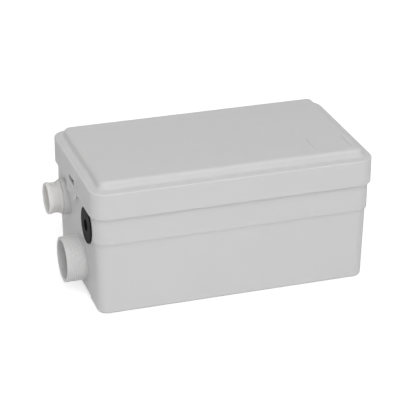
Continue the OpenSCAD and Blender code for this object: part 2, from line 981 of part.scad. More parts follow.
// quarter arcs of growing radius that meet in line, opening at +Y towards -X
module spiral(r) {
    h = spiral_step / 2;
    size = 4 * r;
    centres = [[-h, -h], [h, -h], [h, h], [-h, h]];
    for (i = [0 : 3])
        translate(centres[i])
            rotate(90 * (i + 1))
                intersection() {
                    circle(r + i * spiral_step);
                    square(size);
                }
    circle(r - spiral_step);
}

module volute() {
    color("SlateGray")
        difference() {
            union() {
                at_pump(volute_lo)
                    linear_extrude(volute_hi - volute_lo)
                        spiral(spiral_r + volute_wall);
                at_pump(volute_hi - flange_t)
                    cylinder(r = flange_r, h = flange_t);
                inward(pump_tail_x, outlet_y, pump_mid_z)
                    cylinder(r = tail_r, h = pump_x - pump_tail_x);
                at_pump(lug_z)
                    for (a = lug_angles)
                        rotate([0, 0, a]) {
                            translate([lug_ring, 0, 0])
                                cylinder(r = lug_r, h = lug_t);
                            translate([spiral_r - 2, -lug_r * 0.7, 0])
                                cube([lug_ring - spiral_r + 2, lug_r * 1.4, lug_t]);
                        }
            }
            at_pump(chamber_lo)
                linear_extrude(chamber_hi - chamber_lo)
                    spiral(spiral_r);
            at_pump(chamber_hi - eps)
                cylinder(r = plug_r + seat_gap, h = volute_hi - chamber_hi + 2 * eps);
            at_pump(volute_lo - eps)
                cylinder(r = eye_r, h = volute_base_t + 2 * eps);
            inward(pump_tail_x - eps, outlet_y, pump_mid_z)
                cylinder(r = tail_bore_r, h = pump_x - pump_tail_x + eps - spiral_step / 2);
            at_pump(lug_z - eps)
                for (a = lug_angles)
                    rotate([0, 0, a])
                        translate([lug_ring, 0, 0])
                            cylinder(r = pilot_r, h = lug_t + 2 * eps);
        }
}

module strainer() {
    color("DarkGray")
        at_pump(strainer_lo)
            difference() {
                pipe(strainer_r, strainer_in_r, volute_lo - strainer_lo);
                for (i = [0 : strainer_slots - 1])
                    rotate([0, 0, i * 360 / strainer_slots])
                        translate([strainer_in_r - 2, -strainer_slot_w / 2, -eps])
                            cube([strainer_r, strainer_slot_w, volute_lo - strainer_lo - 1.5 + eps]);
            }
}

module damper(i) {
    a = lug_angles[i];
    waist = damper_h / 4;
    color("Black")
        at_pump(lug_z - damper_h)
            translate([lug_ring * cos(a), lug_ring * sin(a), 0])
                rotate_extrude()
                    polygon([
                        [pilot_r, 0], [damper_r, 0], [damper_r, waist], [damper_waist, 2 * waist],
                        [damper_r, 3 * waist], [damper_r, damper_h], [pilot_r, damper_h]
                    ]);
}

module damper_1() {
    damper(0);
}

module damper_2() {
    damper(1);
}

module damper_3() {
    damper(2);
}

module damper_4() {
    damper(3);
}

module bearing_bracket() {
    color("SlateGray")
        at_pump()
            rotate_extrude()
                polygon([
                    [seal_r, chamber_hi], [plug_r, chamber_hi], [plug_r, volute_hi], [flange_r, volute_hi],
                    [flange_r, bracket_top], [can_in_r - seat_gap, bracket_top],
                    [can_in_r - seat_gap, bracket_top + register_h],
                    [can_in_r - register_h, bracket_top + register_h], [can_in_r - register_h, bracket_top],
                    [bearing_boss_r, bracket_top], [bearing_boss_r, boss_top],
                    [bearing_r + seat_gap, boss_top], [bearing_r + seat_gap, boss_top - bearing_h],
                    [shaft_r + swing_gap, boss_top - bearing_h],
                    [shaft_r + swing_gap, seal_top_z], [seal_r, seal_top_z]
                ]);
}

module motor_can() {
    color("Gray")
        difference() {
            at_pump()
                rotate_extrude()
                    difference() {
                        union() {
                            translate([0, bracket_top])
                                square([can_r, can_top - bracket_top - can_edge]);
                            translate([0, can_top - 2 * can_edge])
                                square([can_r - can_edge, 2 * can_edge]);
                            translate([can_r - can_edge, can_top - can_edge])
                                circle(can_edge);
                            translate([0, bracket_top])
                                square([flange_r, can_flange_t]);
                        }
                        translate([-eps, bracket_top - eps])
                            square([can_in_r + eps, can_top - bracket_top - can_edge + eps]);
                        translate([-eps, can_top - 2 * can_edge])
                            square([can_r - can_edge + eps, 2 * can_edge - can_wall]);
                        translate([can_r - can_edge, can_top - can_edge])
                            circle(can_edge - can_wall);
                        translate([-2 * can_r, bracket_top - eps])
                            square([2 * can_r, 2 * can_top]);
                    }
            at_pump(gland_z)
                rotate([0, 0, gland_angle])
                    rotate([0, 90, 0])
                        cylinder(r = gland_r - 2 + seat_gap, h = 2 * can_r);
        }
}

module upper_bracket() {
    color("SlateGray")
        at_pump()
            rotate_extrude()
                polygon([
                    [bearing_r + seat_gap, upper_lo], [bearing_boss_r, upper_lo], [bearing_boss_r, spider_z],
                    [can_in_r - seat_gap, spider_z], [can_in_r - seat_gap, spider_z + spider_t],
                    [bearing_boss_r, spider_z + spider_t], [bearing_boss_r, upper_hi + 2],
                    [shaft_r + swing_gap, upper_hi + 2], [shaft_r + swing_gap, upper_hi],
                    [bearing_r + seat_gap, upper_hi]
                ]);
}

module stator_core() {
    color("DarkGray")
        at_pump(stator_lo)
            linear_extrude(stator_h)
                difference() {
                    ring2d(can_in_r - seat_gap, stator_bore_r);
                    for (i = [0 : slot_count - 1])
                        rotate(i * 360 / slot_count)
                            translate([slot_ring, 0])
                                circle(slot_r);
                }
}

module windings() {
    gap = seat_gap;
    color("Peru")
        at_pump() {
            for (z = [stator_lo - coil_h - gap, stator_hi + gap])
                translate([0, 0, z])
                    rotate_extrude()
                        translate([coil_in_r, 0])
                            rounded(coil_out_r - coil_in_r, coil_h, coil_edge);
            for (i = [0 : slot_count - 1])
                rotate([0, 0, i * 360 / slot_count])
                    translate([slot_ring, 0, stator_lo - coil_h / 2])
                        cylinder(r = slot_r - 2 * gap, h = stator_h + coil_h);
        }
}

// ball bearing with a shield set back between its two races
module bearing() {
    bore = shaft_r + run_gap;
    race = (bearing_r - bore) * race_part;
    rotate_extrude()
        polygon([
            [bore, 0], [bore + race, 0], [bore + race, shield_dip], [bearing_r - race, shield_dip],
            [bearing_r - race, 0], [bearing_r, 0], [bearing_r, bearing_h], [bearing_r - race, bearing_h],
            [bearing_r - race, bearing_h - shield_dip], [bore + race, bearing_h - shield_dip],
            [bore + race, bearing_h], [bore, bearing_h]
        ]);
}

module lower_bearing() {
    color("Silver")
        at_pump(boss_top - bearing_h)
            bearing();
}

module upper_bearing() {
    color("Silver")
        at_pump(upper_lo)
            bearing();
}

module seal_seat() {
    color("Gray")
        at_pump(seal_face_z)
            pipe(seal_r - seat_gap, shaft_r + swing_gap, seal_top_z - seal_face_z);
}

module seal_ring() {
    color("DarkSlateGray")
        at_pump(disc_hi)
            pipe(shaft_r + 4, shaft_r + seat_gap, seal_face_z - disc_hi - run_gap);
}

module shaft() {
    color("Silver")
        at_pump(shaft_lo)
            cylinder(r = shaft_r, h = shaft_hi - shaft_lo);
}

module rotor_core() {
    color("DarkGray")
        at_pump(stator_lo - rotor_over) {
            pipe(rotor_r, shaft_r + seat_gap, stator_h + 2 * rotor_over);
            translate([0, 0, -end_ring_h])
                pipe(end_ring_out, end_ring_in, stator_h + 2 * rotor_over + 2 * end_ring_h);
        }
}

module impeller() {
    tip_r = impeller_diameter / 2;
    vane_h = disc_hi - disc_t / 2 - vane_lo;
    color("Teal")
        at_pump()
            difference() {
                union() {
                    translate([0, 0, disc_hi - disc_t])
                        cylinder(r = tip_r, h = disc_t);
                    translate([0, 0, vane_lo])
                        cylinder(r = hub_r, h = disc_hi - vane_lo);
                    intersection() {
                        translate([0, 0, vane_lo])
                            cylinder(r = tip_r, h = vane_h);
                        for (i = [0 : vane_count - 1])
                            rotate([0, 0, i * 360 / vane_count])
                                translate([hub_r - 1, 0, vane_lo])
                                    intersection() {
                                        translate([0, vane_arc_r, 0])
                                            pipe(vane_arc_r + vane_t / 2, vane_arc_r - vane_t / 2, vane_h);
                                        translate([0, -vane_t, 0])
                                            cube([2 * tip_r, vane_arc_r + vane_t, disc_hi]);
                                    }
                    }
                }
                translate([0, 0, vane_lo - eps])
                    cylinder(r = shaft_r + seat_gap, h = disc_hi - vane_lo + 2 * eps);
            }
}

module cutter() {
    color("Silver")
        at_pump(cutter_z)
            difference() {
                union() {
                    cylinder(r = hub_r, h = cutter_t + 2);
                    for (a = [0, 120, 240])
                        rotate([0, 0, a])
                            linear_extrude(cutter_t)
                                polygon([
                                    [0, -cutter_w / 2], [cutter_r - cutter_tip, -cutter_tip / 2],
                                    [cutter_r, cutter_tip], [cutter_r - cutter_tip, cutter_w / 2],
                                    [0, cutter_w / 2]
                                ]);
                }
                translate([0, 0, -eps])
                    cylinder(r = shaft_r + seat_gap, h = cutter_t + 2 + 2 * eps);
            }
}

// level switch

module air_bell() {
    color("WhiteSmoke")
        difference() {
            union() {
                at_bell(bell_lo)
                    pipe(bell_r, bell_r - bell_wall, bell_hi - bell_lo);
                at_bell(bell_hi - bell_wall)
                    cylinder(r = bell_r, h = bell_wall);
                at_bell(bell_hi)
                    cylinder(r = switch_r, h = switch_flange);
                at_bell(floor_z)
                    for (a = [90, 210, 330])
                        rotate([0, 0, a])
                            translate([bell_r - bell_wall / 2, 0, 0])
                                cylinder(r = bell_foot_r, h = bell_lo - floor_z + 6);
                at_bell(floor_z)
                    for (a = [240, 300])
                        rotate([0, 0, a]) {
                            translate([bell_lug_x, 0, 0])
                                cylinder(r = bell_lug_r, h = bell_lug_h);
                            translate([bell_r - bell_wall, -bell_web / 2, 0])
                                cube([bell_lug_x - bell_r + bell_wall, bell_web, bell_web_h]);
                        }
            }
            at_bell(bell_hi - bell_wall - eps)
                cylinder(r = port_r, h = bell_wall + switch_flange + 2 * eps);
        }
}

module switch_base() {
    color("Gray")
        at_bell(base_z)
            difference() {
                cylinder(r = switch_r, h = base_h);
                translate([0, 0, switch_flange])
                    cylinder(r = cavity_r, h = base_h);
                translate([0, 0, -eps])
                    cylinder(r = port_r, h = base_h);
            }
}

module diaphragm() {
    color("Black")
        at_bell(skin_z) {
            cylinder(r = switch_r, h = skin_t);
            cylinder(r = skin_mid_r, h = skin_mid_t);
        }
}

module switch_cap() {
    color("Gray")
        difference() {
            union() {
                at_bell(cap_z)
                    cylinder(r = switch_r, h = cap_top_z - cap_z);
                at_bell(cap_top_z)
                    cylinder(r = guide_r, h = guide_h);
                at_bell(cap_top_z)
                    translate([micro_x0, micro_w / 2 + seat_gap, -eps])
                        cube([micro_x1 - micro_x0, post_t, micro_z + micro_h - cap_top_z + eps]);
            }
            at_bell(cap_z - eps)
                cylinder(r = cavity_r, h = cap_top_z - cap_z - cap_roof + eps);
            at_bell(cap_z)
                cylinder(r = stem_r + run_gap, h = cap_top_z - cap_z + guide_h + eps);
        }
}

module plunger() {
    color("OrangeRed")
        at_bell() {
            translate([0, 0, plate_z])
                cylinder(r = plate_r, h = plate_t);
            translate([0, 0, plate_z])
                cylinder(r = stem_r, h = stem_top_z - stem_tip_h - plate_z);
            translate([0, 0, stem_top_z - stem_tip_h])
                cylinder(r1 = stem_r, r2 = stem_tip_r, h = stem_tip_h);
        }
}

module microswitch() {
    color("DarkRed")
        at_bell()
            difference() {
                union() {
                    translate([micro_x0, -micro_w / 2, micro_z])
                        cube([micro_x1 - micro_x0, micro_w, micro_h]);
                    for (y = [-micro_w / 2, micro_w / 2 - lever_lug_w])
                        translate([lever_x - 1.8, y, lever_z - 1.4])
                            cube([3.6, lever_lug_w, micro_z - lever_z + 1.4 + eps]);
                }
                translate([lever_x, 0, lever_z])
                    rotate([90, 0, 0])
                        cylinder(r = lever_pin_r + run_gap, h = 2 * micro_w, center = true);
            }
}

module switch_lever() {
    color("Gold")
        at_bell()
            translate([lever_x, 0, lever_z])
                rotate([0, -lever_tilt, 0]) {
                    translate([-lever_len, -lever_w / 2, -lever_t / 2])
                        cube([lever_len, lever_w, lever_t]);
                    rotate([90, 0, 0])
                        cylinder(r = lever_barrel_r, h = lever_w, center = true);
                    rotate([90, 0, 0])
                        cylinder(r = lever_pin_r, h = micro_w, center = true);
                }
}

// control box

module control_box() {
    color("DimGray")
        at_casing()
            difference() {
                translate([box_x0, box_y0, box_z])
                    linear_extrude(box_h)
                        rounded(box_l, box_w, box_edge);
                translate([box_x0 + box_wall, box_y0 + box_wall, box_z + box_wall])
                    linear_extrude(box_h)
                        rounded(box_l - 2 * box_wall, box_w - 2 * box_wall, box_edge - box_wall);
                translate([box_x0 - eps, lead_end_y, lead_end_z])
                    rotate([0, 90, 0])
                        cylinder(r = lead_r + lead_gap, h = box_wall + 2 * eps);
                translate([wire_end_x, box_y1 + eps, wire_end_z])
                    rotate([90, 0, 0])
                        cylinder(r = wire_r + lead_gap, h = box_wall + 2 * eps);
            }
}

module box_cover() {
    lip_in = box_wall + seat_gap;
    color("Gray")
        at_casing() {
            translate([box_x0 - cover_over, box_y0 - cover_over, box_z + box_h])
                linear_extrude(cover_t)
                    rounded(box_l + 2 * cover_over, box_w + 2 * cover_over, box_edge + cover_over);
            translate([box_x0 + lip_in, box_y0 + lip_in, box_z + box_h - box_lip])
                linear_extrude(box_lip + eps)
                    rounded(box_l - 2 * lip_in, box_w - 2 * lip_in, box_edge - lip_in);
        }
}

module circuit_board() {
    edge = box_wall + board_gap;
    color("DarkGreen")
        at_casing() {
            translate([box_x0 + edge, box_y0 + edge, board_z])
                cube([box_l - 2 * edge, box_w - 2 * edge, board_t]);
            for (x = [box_x0 + post_in, box_x0 + box_l - post_in], y = [box_y0 + post_in, box_y1 - post_in])
                translate([x, y, box_z + box_wall])
                    cylinder(r = standoff_r, h = board_z - box_z - box_wall + board_t / 2);
            translate([box_x0 + edge + relay_x, box_y0 + edge + relay_y, board_z + board_t / 2])
                cube(relay);
        }
}

module run_capacitor() {
    can_cap_y = box_y0 + box_wall + board_gap + can_cap_r + 2;
    color("LightGray")
        inward(box_x0 + (box_l - can_cap_l) / 2, can_cap_y, board_z + board_t + can_cap_r)
            rotate_extrude()
                polygon([
                    [0, 0], [can_cap_r - crimp, 0], [can_cap_r, crimp], [can_cap_r, can_cap_l - 4 * crimp],
                    [can_cap_r - crimp, can_cap_l - 3 * crimp], [can_cap_r, can_cap_l - 2 * crimp],
                    [can_cap_r, can_cap_l - crimp], [can_cap_r - crimp, can_cap_l], [0, can_cap_l]
                ]);
}

module terminal_block() {
    block_pitch = block_l / block_ways;
    block_x = box_x0 + (box_l - block_l) / 2 + block_shift;
    block_y = box_y1 - box_wall - board_gap - block_w - 1;
    color("DarkSlateGray")
        at_casing()
            translate([block_x, block_y, board_z + board_t])
                difference() {
                    cube([block_l, block_w, block_h]);
                    translate([-eps, -eps, block_step])
                        cube([block_l + 2 * eps, block_w / 3 + eps, block_h]);
                    for (i = [0 : block_ways - 1])
                        translate([(i + 0.5) * block_pitch, 0, 0]) {
                            translate([0, block_w * 2 / 3, block_h - well_h])
                                cylinder(r = well_r, h = well_h + eps);
                            translate([-well_r, -eps, block_step / 4])
                                cube([2 * well_r, block_w / 2 + eps, block_step / 2]);
                        }
                }
}

// leads

function bez(a, b, c, d, t) =
    a * pow(1 - t, 3) + 3 * b * t * pow(1 - t, 2) + 3 * c * t * t * (1 - t) + d * pow(t, 3);
function slope(a, b, c, d, t) = 3 * (b - a) * pow(1 - t, 2) + 6 * (c - b) * t * (1 - t) + 3 * (d - c) * t * t;
function unit(v) = v / norm(v);

// round lead along a curve with four control points
module lead(a, b, c, d, r, steps) {
    up = [0, 0, 1];
    rings = [
        for (i = [0 : steps])
            let (
                t = i / steps,
                p = bez(a, b, c, d, t),
                w = unit(slope(a, b, c, d, t)),
                u = unit(cross(w, up)),
                v = cross(w, u)
            )
            for (k = [0 : lead_sides - 1])
                p + r * (u * cos(k * 360 / lead_sides) + v * sin(k * 360 / lead_sides))
    ];
    sides = [
        for (i = [0 : steps - 1], k = [0 : lead_sides - 1])
            let (n = (k + 1) % lead_sides, base = i * lead_sides)
            [base + k, base + n, base + lead_sides + n, base + lead_sides + k]
    ];
    first = [for (k = [lead_sides - 1 : -1 : 0]) k];
    last = [for (k = [0 : lead_sides - 1]) steps * lead_sides + k];
    polyhedron(points = rings, faces = concat(sides, [first, last]));
}

gland_dir = [cos(gland_angle), sin(gland_angle), 0];
gland_tip = [pump_x, 0, gland_z] + gland_dir * (can_r + gland_reach);
lead_end_y = box_y0 + 24;
lead_end_z = box_z + box_h - lead_below;
wire_end_x = bell_x + 4;
wire_end_z = box_z + box_h - 8;

module motor_gland() {
    color("Black")
        at_pump(gland_z)
            rotate([0, 0, gland_angle])
                rotate([0, 90, 0])
                    difference() {
                        union() {
                            translate([0, 0, can_r + seat_gap])
                                cylinder(r = gland_r, h = gland_reach);
                            translate([0, 0, can_in_r])
                                cylinder(r = gland_r - 2, h = gland_reach);
                        }
                        translate([0, 0, can_in_r - eps])
                            cylinder(r = lead_r + lead_gap, h = gland_reach + can_wall + 2 * eps);
                    }
}

module motor_lead() {
    start = gland_tip - gland_dir * lead_grip;
    finish = [box_x0 + box_wall, lead_end_y, lead_end_z];
    color("Black")
        at_casing()
            lead(start, start + gland_dir * lead_out, finish - [lead_in, 0, 0], finish, lead_r, lead_steps);
}

module switch_lead() {
    start = [wire_end_x, bell_y - micro_w / 2, micro_z + micro_h - 3];
    finish = [wire_end_x, box_y1 - box_wall, wire_end_z];
    color("Maroon")
        at_casing()
            lead(start, start - [0, wire_out, 0], finish + [0, wire_in, 0], finish, wire_r, lead_steps);
}

tank();
lid();
lid_gasket();
carbon_filter();
filter_cap();
discharge_spigot();
spigot_seal();
valve_housing();
valve_flap();
valve_pin();
discharge_hose();
hose_clamp_upper();
hose_clamp_lower();
cable_grommet();
inlet_seat_ring();
inlet_flap();
inlet_pin();
volute();
strainer();
damper_1();
damper_2();
damper_3();
damper_4();
bearing_bracket();
motor_can();
upper_bracket();
stator_core();
windings();
lower_bearing();
upper_bearing();
seal_seat();
seal_ring();
shaft();
rotor_core();
impeller();
cutter();
air_bell();
switch_base();
diaphragm();
switch_cap();
plunger();
microswitch();
switch_lever();
control_box();
box_cover();
circuit_board();
run_capacitor();
terminal_block();
motor_gland();
motor_lead();
switch_lead();
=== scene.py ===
"""Looks of a compact waste water lifting pump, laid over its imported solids.

Lengths are in metres, in the frame of the solids: X along the casing with
both pipe ports at -X, Y to the back and Z up.
"""

import json
import math

import bpy
from mathutils import Matrix, Vector


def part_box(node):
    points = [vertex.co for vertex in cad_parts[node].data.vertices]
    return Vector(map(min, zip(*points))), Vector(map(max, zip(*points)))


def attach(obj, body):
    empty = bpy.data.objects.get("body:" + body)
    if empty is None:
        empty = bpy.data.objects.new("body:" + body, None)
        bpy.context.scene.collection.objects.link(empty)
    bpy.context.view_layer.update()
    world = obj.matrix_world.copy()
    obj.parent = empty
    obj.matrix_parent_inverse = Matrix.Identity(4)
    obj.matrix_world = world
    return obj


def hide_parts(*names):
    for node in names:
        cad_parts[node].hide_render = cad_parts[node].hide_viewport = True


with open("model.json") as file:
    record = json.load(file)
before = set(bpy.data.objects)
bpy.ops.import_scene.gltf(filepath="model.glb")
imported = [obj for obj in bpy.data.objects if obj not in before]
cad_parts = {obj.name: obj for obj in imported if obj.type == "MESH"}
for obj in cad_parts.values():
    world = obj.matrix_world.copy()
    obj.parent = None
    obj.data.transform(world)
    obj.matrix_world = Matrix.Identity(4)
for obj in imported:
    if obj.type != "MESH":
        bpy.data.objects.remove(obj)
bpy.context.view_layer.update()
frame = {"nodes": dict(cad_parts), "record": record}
nodes = frame["nodes"]
MM = 0.001

# Camera, fitted to the photograph's outline
CAMERA_PLACE = Vector((-0.5192, -1.5694, 0.8542))
CAMERA_AZIMUTH = math.radians(-18.19)
CAMERA_ELEVATION = math.radians(25.228)
CAMERA_ROLL = math.radians(0.28)
CAMERA_LENS = 155.19
CAMERA_SENSOR = 36.0
CAMERA_REACH = 50.0

# Background and floor, which lies just below the object so that the two share no face
WHITE = (1.0, 1.0, 1.0, 1.0)
FLOOR_HALF = 6.0
FLOOR_DROP = 0.05 * MM
FLOOR_COLOUR = (0.72, 0.72, 0.72, 1.0)
FLOOR_GLOW = 0.60

# Lamps, where a level of 1 lights a white face to white
AMBIENT = 0.45
KEY_LEVEL = 0.88
KEY_PLACE = Vector((-0.28, -1.95, 1.45))
KEY_SIZE = (1.2, 3.8)
FILL_LEVEL = 0.055
FILL_PLACE = Vector((-1.5, -0.2, 1.5))
FILL_SIZE = (0.7, 0.7)
LAMP_AIM = Vector((0.0, 0.0, 0.07))

# Textures: the part of a noise's values that is used
NOISE_SPREAD = (0.3, 0.7)

# Moulded plastic and rubber
MOTTLE_SIZE = 24.0 * MM
GLOSS_SIZE = 7.0 * MM
GLOSS_SPREAD = 0.05
GRAIN_DETAIL = 2.0

# Drawn, ground and cast metal
HAIR_SIZE = 0.6 * MM
HAIR_DETAIL = 4.0
HAIR_DEPTH = 0.004 * MM
HAIR_DARK = 0.9
HAIR_LIGHT = 1.06
HAIR_SMOOTHER = 0.08
HAIR_ROUGHER = 0.1

# Carbon foam, with painted shade in its pores
FOAM_ROUGHNESS = 0.9
FOAM_COLOUR = (0.04, 0.04, 0.04)
# Painted shade: the pore pits are coloured darker than the foam, standing in for the shade that falls in
# them
PAINTED_PORE_SHADE = (0.006, 0.006, 0.006)
PORE_SIZE = 1.2 * MM
PORE_DEPTH = 0.5 * MM
PORE_SPREAD = (0.1, 0.6)

# Softened edges
WELD = 1e-6
FLAT_ANGLE = math.radians(0.4)
EDGE_ANGLE = math.radians(32)
EDGE_SEGMENTS = 2
EDGE_WIDTH = 0.4 * MM
TANK_EDGE_WIDTH = 0.45 * MM
LEAD_LEVELS = 2

# Nodes with other edges than the rest
EVEN_NODES = ("lid", "discharge_spigot")
LEAD_NODES = ("motor_lead", "switch_lead")
UNSOFTENED_NODES = ("tank", "discharge_hose")

# Inlet pipe thread, 11 turns to the inch
THREAD_PITCH = 2.309 * MM
THREAD_DEPTH = 0.45 * MM
THREAD_CREST = 0.8 * MM
THREAD_LEAD = 2.5 * MM
THREAD_FADE = 1.5 * MM
THREAD_ROWS = 10
THREAD_STEPS = 128
STUB_BORE = 20.5 * MM
STUB_LIP = 0.6 * MM
STUB_LIP_STEPS = 4
STUB_CLEAR = 1.5 * MM

# Screw heads and washers: radius and height
FOOT_SCREW = (4.0 * MM, 2.6 * MM)
FOOT_WASHER = (5.6 * MM, 0.8 * MM)
LUG_SCREW = (3.6 * MM, 2.4 * MM)
COVER_SCREW = (3.0 * MM, 2.0 * MM)
CAP_SCREW = (2.0 * MM, 1.4 * MM)
FLANGE_SCREW = (1.7 * MM, 1.2 * MM)
CLAMP_SCREW = (3.4 * MM, 4.0 * MM)

# Shape of a screw head, in shares of its radius and height
HEAD_FLAT = 0.72
HEAD_RIM = 0.35
HEAD_STEPS = 6
RECESS_LENGTH = 1.25
RECESS_WIDTH = 0.26
RECESS_FLOOR = 0.5
RECESS_TOP = 2.0
LATHE_STEPS = 40

# Places of the screws, and the turn from one head to the next
DAMPERS = 4
FOOT_LUG = 4.0 * MM
BELL_LUG = 4.0 * MM
BELL_LUG_RING = 27.0 * MM
BELL_LUG_ANGLES = (240, 300)
COVER_INSET = 7.0 * MM
CAP_RING_INSET = 2.5 * MM
CAP_SCREWS = 6
STEM_PROUD = 6.0 * MM
CAN_FLANGE = 2.0 * MM
FLANGE_INSET = 2.0 * MM
FLANGE_SCREWS = 8
WORM_LENGTH = 10.0 * MM
WORM_HEIGHT = 5.0 * MM
TURN_STEP = math.radians(137.5)

# Switch terminals: size, and places as shares of the switch's length
BLADE = Vector((2.8 * MM, 0.5 * MM, 4.2 * MM))
BLADE_PLACES = (0.16, 0.5, 0.84)


# Stage

def view_axes():
    """Right, up and back of the camera."""
    across = math.cos(CAMERA_ELEVATION)
    back = Vector((
        math.sin(CAMERA_AZIMUTH) * across,
        -math.cos(CAMERA_AZIMUTH) * across,
        math.sin(CAMERA_ELEVATION),
    ))
    right = Vector((math.cos(CAMERA_AZIMUTH), math.sin(CAMERA_AZIMUTH), 0))
    up = back.cross(right)
    turn = Matrix.Rotation(CAMERA_ROLL, 3, back)
    return turn @ right, turn @ up, back


def add_object(name, data):
    """A new object in the scene that shows the given mesh, camera or lamp."""
    added = bpy.data.objects.new(name, data)
    bpy.context.scene.collection.objects.link(added)
    return added


def make_camera():
    """The camera, at the photograph's place."""
    data = bpy.data.cameras.new("camera")
    data.lens = CAMERA_LENS
    data.sensor_width = CAMERA_SENSOR
    data.clip_end = CAMERA_REACH
    camera = add_object("camera", data)
    axes = Matrix(view_axes()).transposed().to_4x4()
    camera.matrix_world = Matrix.Translation(CAMERA_PLACE) @ axes
    bpy.context.scene.camera = camera


def make_lamp(name, place, size, level):
    """A lamp of the given width and height that lights a face turned to it to about the level."""
    data = bpy.data.lights.new(name, "AREA")
    data.shape = "RECTANGLE"
    data.size, data.size_y = size
    data.energy = level * (math.pi * (place - LAMP_AIM).length) ** 2
    lamp = add_object(name, data)
    lamp.location = place
    lamp.rotation_euler = (place - LAMP_AIM).to_track_quat("Z", "Y").to_euler()


def seen_directly(tree):
    """1 for rays that come straight from the eye, or by way of gloss or glass."""
    path = tree.nodes.new("ShaderNodeLightPath")
    total = path.outputs["Is Camera Ray"]
    for kind in ("Is Glossy Ray", "Is Transmission Ray"):
        most = tree.nodes.new("ShaderNodeMath")
        most.operation = "MAXIMUM"
        tree.links.new(total, most.inputs[0])
        tree.links.new(path.outputs[kind], most.inputs[1])
        total = most.outputs[0]
    return total


def make_world():
    """Even light from all round, which is seen as plain white."""
    world = bpy.data.worlds.new("studio")
    world.use_nodes = True
    bpy.context.scene.world = world
    tree = world.node_tree
    tree.nodes.clear()
    ambient = tree.nodes.new("ShaderNodeBackground")
    ambient.inputs["Strength"].default_value = AMBIENT
    ambient.inputs["Color"].default_value = WHITE
    shown = tree.nodes.new("ShaderNodeBackground")
    shown.inputs["Color"].default_value = WHITE
    mix = tree.nodes.new("ShaderNodeMixShader")
    out = tree.nodes.new("ShaderNodeOutputWorld")
    tree.links.new(seen_directly(tree), mix.inputs[0])
    tree.links.new(ambient.outputs[0], mix.inputs[1])
    tree.links.new(shown.outputs[0], mix.inputs[2])
    tree.links.new(mix.outputs[0], out.inputs[0])


def floor_material():
    """A matt pale floor that is seen a little brighter than it lights the object."""
    material = bpy.data.materials.new("pale_floor")
    material.use_nodes = True
    tree = material.node_tree
    tree.nodes.clear()
    matt = tree.nodes.new("ShaderNodeBsdfDiffuse")
    matt.inputs["Color"].default_value = FLOOR_COLOUR
    glow = tree.nodes.new("ShaderNodeEmission")
    glow.inputs["Color"].default_value = WHITE
    strength = tree.nodes.new("ShaderNodeMath")
    strength.operation = "MULTIPLY"
    strength.inputs[1].default_value = FLOOR_GLOW
    both = tree.nodes.new("ShaderNodeAddShader")
    out = tree.nodes.new("ShaderNodeOutputMaterial")
    tree.links.new(seen_directly(tree), strength.inputs[0])
    tree.links.new(strength.outputs[0], glow.inputs["Strength"])
    tree.links.new(matt.outputs[0], both.inputs[0])
    tree.links.new(glow.outputs[0], both.inputs[1])
    tree.links.new(both.outputs[0], out.inputs[0])
    return material


def make_floor():
    """A square floor under the object."""
    mesh = bpy.data.meshes.new("floor")
    edge = FLOOR_HALF
    corners = [(-edge, -edge, 0), (edge, -edge, 0), (edge, edge, 0), (-edge, edge, 0)]
    mesh.from_pydata(corners, [], [(0, 1, 2, 3)])
    mesh.materials.append(floor_material())
    floor = add_object("floor", mesh)
    floor.location.z = -FLOOR_DROP


# Materials

class Finish:
    """A principled material for a slot, with its textures in object space."""

    def __init__(self, slot, roughness, metallic=0.0, specular=0.5):
        self.slot = slot
        self.material = bpy.data.materials.new(slot)
        self.material.use_nodes = True
        self.tree = self.material.node_tree
        self.shader = self.tree.nodes["Principled BSDF"]
        self.shader.inputs["Roughness"].default_value = roughness
        self.shader.inputs["Metallic"].default_value = metallic
        self.shader.inputs["Specular IOR Level"].default_value = specular
        self.place = self.tree.nodes.new("ShaderNodeTexCoord").outputs["Object"]

    def stretched(self, scale):
        """Object space, packed closer by a factor along each axis."""
        node = self.tree.nodes.new("ShaderNodeMapping")
        node.inputs["Scale"].default_value = scale
        self.tree.links.new(self.place, node.inputs["Vector"])
        return node.outputs["Vector"]

    def noise(self, size, detail=3.0, place=None):
        """Cloudy values with lumps of about the given size."""
        node = self.tree.nodes.new("ShaderNodeTexNoise")
        node.inputs["Scale"].default_value = 1 / size
        node.inputs["Detail"].default_value = detail
        self.tree.links.new(place or self.place, node.inputs["Vector"])
        return node.outputs["Fac"]

    def cells(self, size):
        """Distance to the middle of the nearest cell."""
        node = self.tree.nodes.new("ShaderNodeTexVoronoi")
        node.inputs["Scale"].default_value = 1 / size
        self.tree.links.new(self.place, node.inputs["Vector"])
        return node.outputs["Distance"]

    def ranged(self, value, low, high, spread=NOISE_SPREAD):
        """Takes the spread of a texture's values to the range from low to high."""
        node = self.tree.nodes.new("ShaderNodeMapRange")
        node.inputs["From Min"].default_value = spread[0]
        node.inputs["From Max"].default_value = spread[1]
        node.inputs["To Min"].default_value = low
        node.inputs["To Max"].default_value = high
        self.tree.links.new(value, node.inputs["Value"])
        return node.outputs["Result"]

    def colour(self, value, first, second):
        """Base colour from first, where the value is 0, to second, where it is 1."""
        node = self.tree.nodes.new("ShaderNodeMix")
        node.data_type = "RGBA"
        node.inputs["A"].default_value = (*first, 1)
        node.inputs["B"].default_value = (*second, 1)
        self.tree.links.new(value, node.inputs["Factor"])
        self.tree.links.new(node.outputs["Result"], self.shader.inputs["Base Color"])

    def glow_through(self, depth):
        """Lets light spread below the surface, as in unfilled pale plastic."""
        self.shader.inputs["Subsurface Weight"].default_value = 1.0
        self.shader.inputs["Subsurface Radius"].default_value = (1, 1, 1)
        self.shader.inputs["Subsurface Scale"].default_value = depth

    def rough(self, value):
        """Roughness from a texture."""
        self.tree.links.new(value, self.shader.inputs["Roughness"])

    def bump(self, value, height):
        """Fine relief from a texture."""
        node = self.tree.nodes.new("ShaderNodeBump")
        node.inputs["Distance"].default_value = height
        self.tree.links.new(value, node.inputs["Height"])
        self.tree.links.new(node.outputs["Normal"], self.shader.inputs["Normal"])


